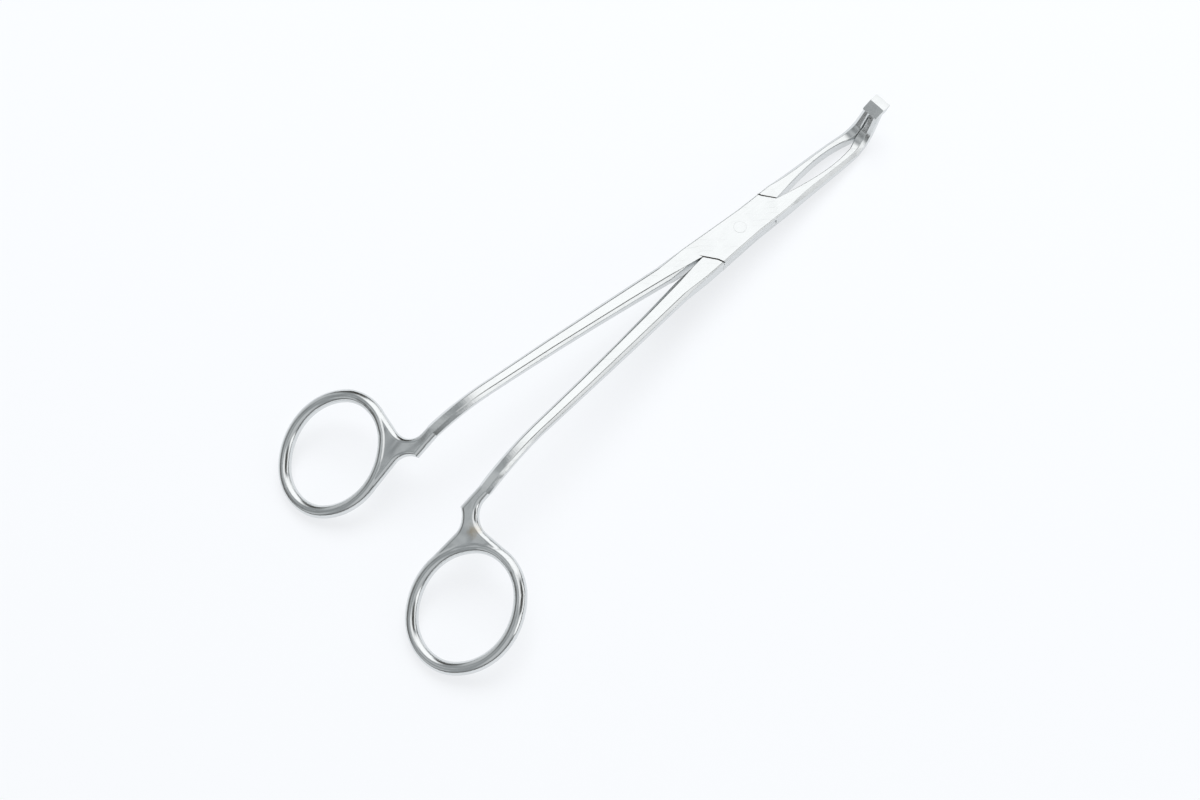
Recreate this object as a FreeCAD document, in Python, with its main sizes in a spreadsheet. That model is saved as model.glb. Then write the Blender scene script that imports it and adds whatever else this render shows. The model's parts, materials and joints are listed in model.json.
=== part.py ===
"""Tonsil forceps: two ring-handled halves crossed in a box lock, on one rivet.

Millimetres. The halves are drawn in the lock's frame: the pivot's middle is the origin,
+X runs to the jaws, +Y to the box half's finger ring and +Z up along the pivot. They are
then laid down together as they rest on a table, on both finger rings and the jaws' heels.
"""
import FreeCAD, Part
import math
import os
import Sketcher
from FreeCAD import Placement, Rotation, Vector

doc = FreeCAD.newDocument("tonsil_forceps")

# Driving dimensions
sheet = doc.addObject("Spreadsheet::Sheet", "dims")
SIZES = [
    # Box lock
    ("lock_thickness", 4.4, "over both cheeks"),
    ("lock_rear_width", 10.3, "across the lock where the shanks start"),
    ("lock_front_width", 8.5, "across the lock from the waist forward"),
    ("lock_rear_reach", 16.0, "pivot to the first shank section"),
    ("lock_front_reach", 14.0, "pivot to the first jaw section"),
    ("lock_waist_reach", 3.0, "pivot to the waist, where the taper ends"),
    ("lock_bevel", 0.35, "bevel along the lock's edges"),
    ("crotch_reach", 12.75, "pivot to each crotch, where the halves part"),
    ("seam_radius", 10.9, "round end of each seam, about the pivot"),
    ("seam_slant_angle", 36.0, "seam's straight part off the cross direction, degrees"),
    ("seam_gap", 0.12, "between a cheek's edge and its shoulder"),
    ("seam_run_out", 0.8, "by which the seams' cuts run out of the metal"),
    ("slot_height", 1.56, "slot between the cheeks"),
    ("tongue_clearance", 0.05, "between the tongue and each cheek"),
    ("wall_reach", 8.6, "pivot to the outer end of the slot's end wall"),
    ("wall_spread", 4.6, "middle line to the outer end of the slot's end wall"),
    ("wall_gap", 0.18, "between the tongue's edge and the end wall, along the lock"),
    ("relief_diameter", 1.0, "round relief at the outer end of each end wall"),
    ("relief_height", 2.4, "relief, which stands over the slot"),
    ("crotch_bevel", 0.05, "edges between the halves at the crotch"),
    # Rivet
    ("pin_diameter", 3.2, "rivet"),
    ("pin_interference", 0.01, "rivet in the cheeks, on the radius"),
    ("pin_clearance", 0.05, "tongue on the rivet, on the radius"),
    # Shanks
    ("shank_root_gap", 1.0, "between the shanks at their first section"),
    ("shoulder_reach", 22.5, "pivot to where the broad bevels are fully open"),
    ("shoulder_spread", 3.1, "middle line to the shank's middle there"),
    ("shoulder_width", 4.85, "shank's width there"),
    ("shoulder_height", 3.8, "shank's height there"),
    ("middle_reach", 46.0, "pivot to the shank's middle section"),
    ("middle_spread", 5.65, "middle line to the shank's middle there"),
    ("middle_width", 4.05, "shank's width there"),
    ("middle_height", 3.2, "shank's height there"),
    ("bend_reach", 74.3, "pivot to the start of the downward bend"),
    ("bend_spread", 8.2, "middle line to the shank's middle there"),
    ("bend_radius", 38.2, "along the middle of the shank"),
    ("shank_width", 3.4, "through the bend and the neck"),
    ("shank_height", 2.8, "through the bend and the neck"),
    ("shank_bevel", 0.85, "broad bevels along the shank"),
    # Finger rings
    ("ring_slope_angle", 27.8, "rings below the lock's plane, degrees"),
    ("ring_spread", 26.3, "middle line to the ring's middle"),
    ("hole_length", 28.2, "clear length for the finger"),
    ("hole_width", 23.2, "clear width for the finger"),
    ("wire_diameter", 3.3, "ring's round section"),
    ("ring_end_radius", 11.5, "ring's end arcs, along the middle of the wire"),
    ("neck_reach", 23.5, "ring's middle to the end of the shank's bend"),
    ("neck_offset", 16.2, "ring's middle to the shank's middle, across"),
    ("neck_hollow", 5.2, "radius of the neck's hollow outer side"),
    ("neck_turn_angle", 98.0, "turn of the hollow side, from the shank to the web's edge, degrees"),
    ("web_reach", 16.2, "ring's middle to the bottom of the hollow"),
    ("web_sink", 0.08, "web's edges under the wire's side where they leave it"),
    ("web_round", 1.3, "rounded edges of the web"),
    ("flank_angle", 2.7, "web's edge behind the stop, off the ring's length, degrees"),
    ("stop_reach", 16.0, "ring's middle to the stop's corner"),
    ("stop_back_reach", 11.0, "ring's middle to the hollow behind the stop"),
    ("stop_hollow", 6.0, "radius of the hollow behind the stop"),
    # Jaws
    ("jaw_root_gap", 0.5, "between the jaws at their first section"),
    ("jaw_flare_reach", 20.0, "pivot to where the jaws' broad bevels are open"),
    ("jaw_flare_gap", 2.3, "between the jaws there"),
    ("jaw_flare_height", 4.1, "jaw's height there"),
    ("jaw_belly_reach", 29.0, "pivot to the widest opening"),
    ("jaw_belly_gap", 4.0, "widest opening between the bowed jaws"),
    ("jaw_belly_width", 8.2, "across both jaws there"),
    ("jaw_belly_height", 3.7, "jaw's height there"),
    ("jaw_bevel", 0.95, "broad outer bevels of the jaws"),
    ("jaw_inner_bevel", 0.15, "fine bevel of the jaws' inner edges"),
    ("jaw_bend_reach", 38.2, "pivot to the start of the upward bend"),
    ("jaw_bend_gap", 2.6, "between the jaws there"),
    ("jaw_bend_width", 7.6, "across both jaws there"),
    ("jaw_bend_radius", 7.0, "along the middle of the jaw"),
    ("jaw_height", 3.2, "jaw's depth through the bend and the tip"),
    # Tips
    ("tip_rise_angle", 64.0, "tip above the lock's plane, degrees"),
    ("tip_length", 7.0, "straight length past the bend"),
    ("tip_root_width", 5.7, "across both tips at the end of the bend"),
    ("tip_end_width", 4.5, "across both tips at their end"),
    ("tip_end_depth", 2.9, "jaw's depth at the tip's end"),
    ("tip_lap", 0.4, "stock past the middle line before the tips are ground flat"),
    ("tip_inner_bevel", 0.9, "broad bevel of the tips' inner edges, with that stock"),
    ("tip_gap", 0.12, "between the closed tips"),
    ("prong_thickness", 1.5, "cross prong that ends the box half's jaw"),
    ("prong_overhang", 0.12, "prong beyond the tips' sides and back"),
    ("prong_lip", 0.7, "prong's sharp front edge beyond the tip"),
    ("prong_lip_run", 1.3, "length of the lip's bright slope"),
    ("prong_lip_rise", 0.4, "front edge above the prong's flat"),
    ("prong_slope_run", 1.8, "length of the prong's slope to the back"),
    ("prong_slope_drop", 1.2, "back edge below the prong's flat"),
    ("prong_clearance", 0.15, "from the prong down to the other jaw's end"),
    ("tooth_depth", 1.0, "pointed tooth of the tongue half"),
    ("tooth_height", 1.7, "tooth at its root"),
    ("tooth_width", 2.0, "tooth along the tips' depth"),
    ("tooth_clearance", 0.12, "tooth in its notch"),
]
for row, (alias, value, note) in enumerate(SIZES, start=1):
    sheet.set("A%d" % row, alias)
    sheet.set("B%d" % row, str(value))
    sheet.set("C%d" % row, note)
    sheet.setAlias("B%d" % row, alias)
doc.recompute()

# The box half's ring stands on +Y and its jaw on -Y; the tongue half is its mirror
BOX_SIDE = 1
TONGUE_SIDE = -1


def number(formula):
    """Present value of a formula of the sheet's names."""
    value = sheet.evalExpression(formula)
    return float(getattr(value, "Value", value))


def signed(sign, formula):
    """The formula's value with a sign, such as that of the side it lies on."""
    return "(%s)" % formula if sign > 0 else "-(%s)" % formula


# Formulas that several features share
SLOPE = "dims.ring_slope_angle * 1deg"
SHANK_LEVEL = "(dims.lock_thickness - dims.shank_height) / 2"
BEND_RUN = "dims.bend_radius * sin(%s)" % SLOPE
RING_X = "-(dims.bend_reach + %s + dims.neck_reach * cos(%s))" % (BEND_RUN, SLOPE)
RING_Z = "%s - dims.bend_radius * (1 - cos(%s)) - dims.neck_reach * sin(%s)" % (
    SHANK_LEVEL, SLOPE, SLOPE)
NECK_SPREAD = "(dims.ring_spread - dims.neck_offset)"
END_REACH = "((dims.hole_length + dims.wire_diameter) / 2)"
SIDE_REACH = "((dims.hole_width + dims.wire_diameter) / 2)"
END_CENTRE = "(%s - dims.ring_end_radius)" % END_REACH
SIDE_RADIUS = "((%s ^ 2 - 2 * %s * dims.ring_end_radius + %s ^ 2) / (2 * (%s - dims.ring_end_radius)))" % (
    END_REACH, END_REACH, SIDE_REACH, SIDE_REACH)
SIDE_CENTRE = "(%s - %s)" % (SIDE_RADIUS, SIDE_REACH)
END_SWEEP = "2 * atan(%s / %s)" % (SIDE_CENTRE, END_CENTRE)
RISE = "dims.tip_rise_angle * 1deg"
JAW_LEVEL = "(dims.jaw_height - dims.lock_thickness) / 2"
TIP_X = "(dims.jaw_bend_reach + dims.jaw_bend_radius * sin(%s) + dims.tip_length * cos(%s))" % (
    RISE, RISE)
TIP_Z = "(%s + dims.jaw_bend_radius * (1 - cos(%s)) + dims.tip_length * sin(%s))" % (
    JAW_LEVEL, RISE, RISE)
STUB_Z = "(%s - dims.prong_thickness - dims.prong_clearance)" % TIP_Z
TOOTH_Z = "(%s - 0.6 * dims.tooth_height)" % STUB_Z
TOOTH_X = "(%s - (%s - %s) / tan(%s))" % (TIP_X, TIP_Z, TOOTH_Z, RISE)
TONGUE_HEIGHT = "(dims.slot_height - 2 * dims.tongue_clearance)"
BESIDE = "(dims.lock_rear_width / 2 + dims.lock_thickness)"


def plane_of(body, role):
    for feature in body.Origin.OriginFeatures:
        if feature.Role == role:
            return feature
    raise RuntimeError("no plane " + role)


def new_sketch(body, name, role, base=("0", "0", "0"), axis=None, angle="0deg"):
    """A sketch on an origin plane of its body, moved and turned by formulas."""
    sketch = body.newObject("Sketcher::SketchObject", name)
    sketch.AttachmentSupport = [(plane_of(body, role), "")]
    sketch.MapMode = "FlatFace"
    if axis is not None:
        sketch.AttachmentOffset = Placement(Vector(), Rotation(axis, number(angle)))
        sketch.setExpression("AttachmentOffset.Rotation.Angle", angle)
    for letter, formula in zip("xyz", base):
        if formula != "0":
            sketch.setExpression("AttachmentOffset.Base." + letter, formula)
    return sketch


def bind(sketch, kind, where, formula):
    """A driving constraint whose value is a formula."""
    index = sketch.addConstraint(Sketcher.Constraint(kind, *where, number(formula)))
    sketch.setExpression("Constraints[%d]" % index, formula)


def place_point(sketch, index, end, spot):
    bind(sketch, "DistanceX", (-1, 1, index, end), spot[0])
    bind(sketch, "DistanceY", (-1, 1, index, end), spot[1])


def outline(sketch, corners, arcs=None):
    """A closed outline through corners given by formulas.

    arcs maps a side's number to its radius and to the hand, 1 for left and -1 for right,
    to which it is bowed as the outline is followed.
    """
    arcs = arcs or {}
    spots = [Vector(number(x), number(y), 0) for x, y in corners]
    ends = []
    for side, start in enumerate(spots):
        finish = spots[(side + 1) % len(spots)]
        if side not in arcs:
            index = sketch.addGeometry(Part.LineSegment(start, finish))
            ends.append((index, 1, 2))
            continue
        formula, hand = arcs[side]
        radius = number(formula)
        chord = finish - start
        left = Vector(-chord.y, chord.x, 0).normalize()
        rise = radius - math.sqrt(radius ** 2 - chord.Length ** 2 / 4)
        middle = (start + finish) * 0.5 + left * hand * rise
        index = sketch.addGeometry(Part.Arc(start, middle, finish))
        forward = sketch.getPoint(index, 1).distanceToPoint(start) < 1e-6
        ends.append((index, 1, 2) if forward else (index, 2, 1))
        bind(sketch, "Radius", (index,), formula)
    for side, (index, start_end, finish_end) in enumerate(ends):
        following = ends[(side + 1) % len(ends)]
        sketch.addConstraint(
            Sketcher.Constraint("Coincident", index, finish_end, following[0], following[1]))
        place_point(sketch, index, start_end, corners[side])
    return sketch


def rounds(sketch, spots, diameter):
    """Circles of one diameter about spots given by formulas."""
    for spot in spots:
        centre = Vector(number(spot[0]), number(spot[1]), 0)
        index = sketch.addGeometry(Part.Circle(centre, Vector(0, 0, 1), number(diameter) / 2))
        place_point(sketch, index, 3, spot)
        bind(sketch, "Diameter", (index,), diameter)
    return sketch


def bar_section(body, name, side, reach, level, inner, outer, height, bevels, pitch=None):
    """An eight-sided section across the bar of a shank or a jaw.

    inner and outer are the edges' distances from the middle line, height the bar's depth,
    bevels the inner and the outer one, and pitch turns the section's front face upward.
    """
    sketch = new_sketch(
        body, name, "YZ_Plane", ("0", level, reach), Vector(-1, 0, 0) if pitch else None,
        pitch or "0deg")
    half = "(%s) / 2" % height
    inner_bevel, outer_bevel = bevels
    across = [
        ("%s + %s" % (inner, inner_bevel), half),
        (inner, "%s - %s" % (half, inner_bevel)),
        (inner, "%s - %s" % (inner_bevel, half)),
        ("%s + %s" % (inner, inner_bevel), "-(%s)" % half),
        ("%s - %s" % (outer, outer_bevel), "-(%s)" % half),
        (outer, "%s - %s" % (outer_bevel, half)),
        (outer, "%s - %s" % (half, outer_bevel)),
        ("%s - %s" % (outer, outer_bevel), half),
    ]
    return outline(sketch, [(signed(side, y), z) for y, z in across])


def loft(body, name, sections, ruled=False):
    feature = body.newObject("PartDesign::AdditiveLoft", name)
    feature.Profile = sections[0]
    feature.Sections = sections[1:]
    feature.Ruled = ruled
    return feature


def pad(body, name, profile, length):
    """Metal to both sides of a profile, its length in all."""
    feature = body.newObject("PartDesign::Pad", name)
    feature.Profile = profile
    feature.SideType = "Symmetric"
    feature.setExpression("Length", length)
    return feature


def pocket(body, name, profile, length):
    """A cut to both sides of a profile, its length in all."""
    feature = body.newObject("PartDesign::Pocket", name)
    feature.Profile = profile
    feature.SideType = "Symmetric"
    feature.setExpression("Length", length)
    return feature


def long_edges(feature, sketch, corners, sides, height):
    """Names of a pad's edges, on both faces, along the given sides of its outline."""
    spots = [Vector(number(x), number(y), 0) for x, y in corners]
    lift = Vector(0, 0, number(height) / 2)
    wanted = []
    for side in sides:
        first, second = spots[side], spots[(side + 1) % len(spots)]
        wanted.append((first + lift, second + lift))
        wanted.append((first - lift, second - lift))
    to_sketch = sketch.Placement.inverse()
    names = []
    for index, edge in enumerate(feature.Shape.Edges, start=1):
        points = [to_sketch.multVec(vertex.Point) for vertex in edge.Vertexes]
        start, finish = points[0], points[-1]
        for first, second in wanted:
            as_drawn = start.distanceToPoint(first) + finish.distanceToPoint(second)
            turned = start.distanceToPoint(second) + finish.distanceToPoint(first)
            if min(as_drawn, turned) < 1e-4:
                names.append("Edge%d" % index)
    if len(names) != len(wanted):
        raise RuntimeError("edges not found on " + feature.Name)
    return names


def lock_blank(body):
    """The lock's whole outline, from which each half keeps its own layers."""
    rear = "dims.lock_rear_width / 2"
    front = "dims.lock_front_width / 2"
    edge = [
        ("-dims.lock_rear_reach", rear),
        ("-(dims.lock_rear_reach - 2 * dims.lock_bevel)", rear),
        ("dims.lock_waist_reach", front),
        ("dims.lock_front_reach", front),
    ]
    corners = edge + [(x, "-" + y) for x, y in reversed(edge)]
    sketch = new_sketch(body, "lock_outline", "XY_Plane")
    outline(sketch, corners)
    blank = pad(body, "lock_blank", sketch, "dims.lock_thickness")
    doc.recompute()
    bevel = body.newObject("PartDesign::Chamfer", "lock_bevels")
    names = long_edges(blank, sketch, corners, (0, 1, 2, 4, 5, 6), "dims.lock_thickness")
    bevel.Base = (blank, names)
    bevel.setExpression("Size", "dims.lock_bevel")
    return bevel


def seam(gap, end):
    """A seam's outline from its crotch: straight, then an arc about the pivot.

    gap moves it off the cheek's edge, and end is 1 for the rear seam and -1 for the front.
    """
    slant = "dims.seam_slant_angle * 1deg"
    radius = "(dims.seam_radius + %s)" % gap
    crotch = (
        "-(dims.crotch_reach + %s * cos(%s))" % (gap, slant),
        "-%s * sin(%s)" % (gap, slant))
    run = "(dims.crotch_reach * sin(%s) - sqrt(%s ^ 2 - (dims.crotch_reach * cos(%s) + %s) ^ 2))" % (
        slant, radius, slant, gap)
    corner = (
        "%s + %s * sin(%s)" % (crotch[0], run, slant),
        "%s - %s * cos(%s)" % (crotch[1], run, slant))
    beyond = "(dims.lock_rear_width / 2 + dims.seam_run_out)"
    finish = ("-sqrt(%s ^ 2 - %s ^ 2)" % (radius, beyond), "-" + beyond)
    spots = [crotch, corner, finish]
    return [(signed(end, x), signed(end, y)) for x, y in spots], radius


def part_at_seam(body, name, end, reach, gap):
    """Cut from the box half all that lies beyond one of its cheeks' edges."""
    far = "(%s + dims.lock_thickness)" % reach
    spots, radius = seam("0", end)
    slit = [
        (signed(-end, far), signed(end, gap + " / 2")),
        (signed(-end, reach), signed(end, gap + " / 2")),
    ]
    closing = [
        (spots[2][0], signed(-end, BESIDE)),
        (signed(-end, far), signed(-end, BESIDE)),
    ]
    sketch = new_sketch(body, name + "_outline", "XY_Plane")
    outline(sketch, slit + spots + closing, {3: (radius, -1)})
    return pocket(body, name, sketch, "2 * dims.lock_thickness")


def box_lock(body):
    """Both cheeks, the slot between them and the rivet's tight bore."""
    lock_blank(body)
    part_at_seam(body, "rear_seam", 1, "dims.lock_rear_reach", "dims.shank_root_gap")
    part_at_seam(body, "front_seam", -1, "dims.lock_front_reach", "dims.jaw_root_gap")
    ends = []
    for end in (1, -1):
        ends += [
            (signed(-end, "dims.crotch_reach"), "0"),
            (signed(-end, "dims.wall_reach"), signed(end, "dims.wall_spread")),
            (signed(-end, "dims.wall_reach"), signed(end, BESIDE)),
            (signed(end, "dims.crotch_reach"), signed(end, BESIDE)),
        ]
    sketch = new_sketch(body, "slot_outline", "XY_Plane")
    outline(sketch, ends)
    pocket(body, "slot", sketch, "dims.slot_height")
    sketch = new_sketch(body, "relief_outline", "XY_Plane")
    rounds(sketch, [ends[1], ends[5]], "dims.relief_diameter")
    pocket(body, "slot_relief", sketch, "dims.relief_height")
    sketch = new_sketch(body, "bore_outline", "XY_Plane")
    rounds(sketch, [("0", "0")], "dims.pin_diameter - 2 * dims.pin_interference")
    return pocket(body, "rivet_bore", sketch, "2 * dims.lock_thickness")


def tongue_lock(body):
    """The tongue that fills the slot, its shoulders and its running bore."""
    lock_blank(body)
    stations = (
        (1, "dims.lock_rear_reach", "dims.shank_root_gap"),
        (-1, "dims.lock_front_reach", "dims.jaw_root_gap"),
    )
    for end, reach, gap in stations:
        name = "rear_wall" if end > 0 else "front_wall"
        far = "(%s + dims.lock_thickness)" % reach
        inside = "(dims.wall_reach - dims.wall_gap)"
        corners = [
            (signed(-end, far), signed(-end, gap + " / 2")),
            (signed(-end, reach), signed(-end, gap + " / 2")),
            (signed(-end, "dims.crotch_reach - dims.wall_gap"),
             signed(-end, "dims.wall_gap / 2")),
            (signed(-end, inside), signed(end, "dims.wall_spread")),
            (signed(-end, inside), signed(end, BESIDE)),
            (signed(-end, far), signed(end, BESIDE)),
        ]
        sketch = new_sketch(body, name + "_outline", "XY_Plane")
        outline(sketch, corners)
        pocket(body, name, sketch, "2 * dims.lock_thickness")

    # Both cheeks' room, from shoulder to shoulder; the straight seams start past the crotch
    corners = []
    for end in (1, -1):
        spots, radius = seam("dims.seam_gap", end)
        slant = "dims.seam_slant_angle * 1deg"
        start = (
            "%s %s dims.seam_run_out * sin(%s)" % (spots[0][0], "-" if end > 0 else "+", slant),
            "%s %s dims.seam_run_out * cos(%s)" % (spots[0][1], "+" if end > 0 else "-", slant))
        if end < 0:
            corners.append((start[0], signed(1, "-" + BESIDE)))
        corners += [start, spots[1], spots[2], (spots[2][0], signed(-end, BESIDE))]
        if end < 0:
            corners.append((corners[0][0], BESIDE))
    thickness = "(dims.lock_thickness - %s / 2)" % TONGUE_HEIGHT
    for level, name in ((1, "upper_cheek_room"), (-1, "lower_cheek_room")):
        middle = signed(level, "%s / 2 + %s / 2" % (TONGUE_HEIGHT, thickness))
        sketch = new_sketch(body, name + "_outline", "XY_Plane", ("0", "0", middle))
        outline(sketch, corners, {1: (radius, -1), 6: (radius, -1)})
        pocket(body, name, sketch, thickness)
    sketch = new_sketch(body, "bore_outline", "XY_Plane")
    rounds(sketch, [("0", "0")], "dims.pin_diameter + 2 * dims.pin_clearance")
    return pocket(body, "running_bore", sketch, "2 * dims.lock_thickness")


def shank(body, side):
    """From the lock's rear to the neck: broad flats and bevels, then the downward bend."""
    broad = ("dims.shank_bevel", "dims.shank_bevel")

    def station(name, reach, spread, width, height, level=None, pitch=None):
        level = level or "(dims.lock_thickness - %s) / 2" % height
        inner = "%s - %s / 2" % (spread, width)
        outer = "%s + %s / 2" % (spread, width)
        return bar_section(body, name, side, reach, level, inner, outer, height, broad, pitch)

    root = bar_section(
        body, "shank_root", side, "-dims.lock_rear_reach", "0", "dims.shank_root_gap / 2",
        "dims.lock_rear_width / 2", "dims.lock_thickness",
        ("dims.crotch_bevel", "dims.lock_bevel"))
    shoulder = station(
        "shank_shoulder", "-dims.shoulder_reach", "dims.shoulder_spread",
        "dims.shoulder_width", "dims.shoulder_height")
    loft(body, "shank_shoulder_bar", [root, shoulder], ruled=True)

    middle = station(
        "shank_middle", "-dims.middle_reach", "dims.middle_spread",
        "dims.middle_width", "dims.middle_height")
    steps = 4
    bend = []
    for step in range(steps + 1):
        turn = "%s * %d / %d" % (SLOPE, step, steps)
        ahead = "dims.bend_radius * sin(%s)" % turn
        spread = "(dims.bend_spread + (%s - dims.bend_spread) * %s / (%s))" % (
            NECK_SPREAD, ahead, BEND_RUN)
        bend.append(station(
            "shank_bend_%d" % step, "-(dims.bend_reach + %s)" % ahead, spread,
            "dims.shank_width", "dims.shank_height",
            "%s - dims.bend_radius * (1 - cos(%s))" % (SHANK_LEVEL, turn),
            turn if step else None))
    loft(body, "shank_bar", [shoulder, middle, bend[0]])
    return loft(body, "shank_bend", bend)


def ring_arc(body, name, sketch, radius, sweep):
    """Part of the ring: the wire's section turned about the sketch's upright axis."""
    rounds(sketch, [(radius, "0")], "dims.wire_diameter")
    feature = body.newObject("PartDesign::Revolution", name)
    feature.Profile = sketch
    feature.ReferenceAxis = (sketch, ["V_Axis"])
    feature.Midplane = True
    feature.setExpression("Angle", sweep)
    return feature


def neck_and_ring(body, side):
    """The flat web with the stop's corner, and the round finger ring of four arcs."""
    place = (RING_X, signed(side, "dims.ring_spread"), RING_Z)
    half_wire = "dims.wire_diameter / 2"

    # The web's edges leave the ring's outer side along its tangents, a little inside it,
    # and the web ends along the middle of the wire, so it never shows in the hole
    near = "(dims.neck_offset - dims.shank_width / 2)"
    far = "(dims.neck_offset + dims.shank_width / 2)"
    turn = "dims.neck_turn_angle * 1deg"
    flank = "dims.flank_angle * 1deg"
    end_side = "(dims.ring_end_radius + %s - dims.web_sink)" % half_wire
    ring_side = "(%s + %s - dims.web_sink)" % (SIDE_RADIUS, half_wire)
    foot = (
        "%s * sin(%s)" % (ring_side, flank), "%s * cos(%s) - %s" % (ring_side, flank, SIDE_CENTRE))
    plan = [
        ("dims.neck_reach", near),
        ("dims.web_reach + dims.neck_hollow", near),
        ("dims.web_reach + dims.neck_hollow * (1 - sin(%s))" % turn,
         "%s - dims.neck_hollow * (1 - cos(%s))" % (near, turn)),
        ("%s + %s * sin(%s)" % (END_CENTRE, end_side, turn), "-%s * cos(%s)" % (end_side, turn)),
        (END_REACH, "0"),
        ("0", SIDE_REACH),
        foot,
        ("dims.stop_back_reach",
         "%s - (dims.stop_back_reach - %s) * tan(%s)" % (foot[1], foot[0], flank)),
        ("dims.stop_reach", far),
        ("dims.neck_reach", far),
    ]
    corners = [(x, signed(-side, y)) for x, y in plan]
    arcs = {
        1: ("dims.neck_hollow", side),
        4: ("(%s + %s) / 2" % (END_REACH, SIDE_REACH), side),
        7: ("dims.stop_hollow", side),
    }
    sketch = new_sketch(body, "web_outline", "XY_Plane", place, Vector(0, -1, 0), SLOPE)
    outline(sketch, corners, arcs)
    web = pad(body, "web", sketch, "dims.shank_height")
    doc.recompute()
    edges = body.newObject("PartDesign::Fillet", "web_edges")
    edges.Base = (web, long_edges(web, sketch, corners, (0, 1, 2, 6, 7, 8), "dims.shank_height"))
    edges.setExpression("Radius", "dims.web_round")

    across = signed(-side, "dims.ring_spread")
    for end, name in ((1, "near"), (-1, "far")):
        centre = (
            "%s + %s * cos(%s)" % (RING_X, signed(end, END_CENTRE), SLOPE),
            "%s + %s * sin(%s)" % (RING_Z, signed(end, END_CENTRE), SLOPE), across)
        sketch = new_sketch(
            body, "ring_%s_wire" % name, "XZ_Plane", centre, Vector(0, 0, 1), SLOPE)
        ring_arc(body, "ring_%s_end" % name, sketch, signed(end, "dims.ring_end_radius"), END_SWEEP)
    for hand, name in ((-side, "inner"), (side, "outer")):
        centre = (
            "%s - %s" % (place[1], signed(hand, SIDE_CENTRE)), RING_Z, RING_X)
        sketch = new_sketch(
            body, "ring_%s_wire" % name, "YZ_Plane", centre, Vector(-1, 0, 0), SLOPE)
        arc = ring_arc(
            body, "ring_%s_side" % name, sketch, signed(hand, SIDE_RADIUS),
            "180deg - %s" % END_SWEEP)
    return arc


def jaw(body, side):
    """From the lock's front to the tip: a bowed arm, the upward bend and the flat tip."""
    def station(name, reach, inner, outer, height, level=None, pitch=None,
                inner_bevel="dims.jaw_inner_bevel"):
        level = level or "(%s - dims.lock_thickness) / 2" % height
        bevels = (inner_bevel, "dims.jaw_bevel")
        return bar_section(body, name, side, reach, level, inner, outer, height, bevels, pitch)

    root = bar_section(
        body, "jaw_root", side, "dims.lock_front_reach", "0", "dims.jaw_root_gap / 2",
        "dims.lock_front_width / 2", "dims.lock_thickness",
        ("dims.crotch_bevel", "dims.lock_bevel"))
    flare = station(
        "jaw_flare", "dims.jaw_flare_reach", "dims.jaw_flare_gap / 2",
        "dims.lock_front_width / 2", "dims.jaw_flare_height")
    belly = station(
        "jaw_belly", "dims.jaw_belly_reach", "dims.jaw_belly_gap / 2",
        "dims.jaw_belly_width / 2", "dims.jaw_belly_height")
    steps = 3
    inners = ("dims.jaw_bend_gap / 2", "dims.jaw_bend_gap / 8", "-dims.tip_lap", "-dims.tip_lap")
    bend = []
    for step, inner in enumerate(inners):
        turn = "%s * %d / %d" % (RISE, step, steps)
        outer = "(dims.jaw_bend_width + (dims.tip_root_width - dims.jaw_bend_width) * %d / %d) / 2" % (
            step, steps)
        bend.append(station(
            "jaw_bend_%d" % step, "dims.jaw_bend_reach + dims.jaw_bend_radius * sin(%s)" % turn,
            inner, outer, "dims.jaw_height",
            "%s + dims.jaw_bend_radius * (1 - cos(%s))" % (JAW_LEVEL, turn),
            turn if step else None,
            "(dims.jaw_inner_bevel + (dims.tip_inner_bevel - dims.jaw_inner_bevel) * %d / %d)" % (
                step, steps)))
    end = station(
        "tip_end", TIP_X, "-dims.tip_lap", "dims.tip_end_width / 2", "dims.tip_end_depth",
        TIP_Z, RISE, "dims.tip_inner_bevel")
    loft(body, "jaw_arm", [root, flare, belly, bend[0]])
    loft(body, "jaw_bend", bend)
    loft(body, "tip", [bend[-1], end], ruled=True)

    # The tips are ground flat, just short of the middle line
    back = "dims.jaw_bend_reach"
    front = "(%s + dims.jaw_height)" % TIP_X
    corners = [(back, "-dims.tip_gap / 2"), (front, "-dims.tip_gap / 2"),
               (front, "dims.jaw_bend_width"), (back, "dims.jaw_bend_width")]
    sketch = new_sketch(body, "flat_outline", "XY_Plane")
    outline(sketch, [(x, signed(-side, y)) for x, y in corners])
    return pocket(body, "tip_flat", sketch, "4 * %s" % TIP_Z)


def cut_above(body, level):
    """End a tip on a level plane."""
    room = "dims.jaw_height * 2"
    corners = [
        ("%s - %s" % (TIP_X, room), level),
        ("%s + %s" % (TIP_X, room), level),
        ("%s + %s" % (TIP_X, room), "%s + %s" % (level, room)),
        ("%s - %s" % (TIP_X, room), "%s + %s" % (level, room)),
    ]
    sketch = new_sketch(body, "end_outline", "XZ_Plane")
    outline(sketch, corners)
    return pocket(body, "tip_end_cut", sketch, "2 * dims.jaw_bend_width")


def tooth_profile(body, name, side, clearance):
    """The pointed tooth seen along it; it points away from its own jaw's side."""
    root = "(dims.tip_gap / 2 + dims.tip_lap)"
    slope = "dims.tooth_height / 2 / (dims.tooth_depth + dims.tip_gap / 2)"
    half = "((dims.tooth_depth + dims.tip_gap / 2 + %s) * %s + %s)" % (root, slope, clearance)
    point = "(dims.tooth_depth + 1.4 * %s)" % clearance
    sketch = new_sketch(
        body, name, "YZ_Plane", ("0", TOOTH_Z, TOOTH_X), Vector(1, 0, 0),
        "(90 - dims.tip_rise_angle) * 1deg")
    corners = [(root, "-" + half), (root, half), ("-" + point, "0")]
    return outline(sketch, [(signed(side, y), z) for y, z in corners])


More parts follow.
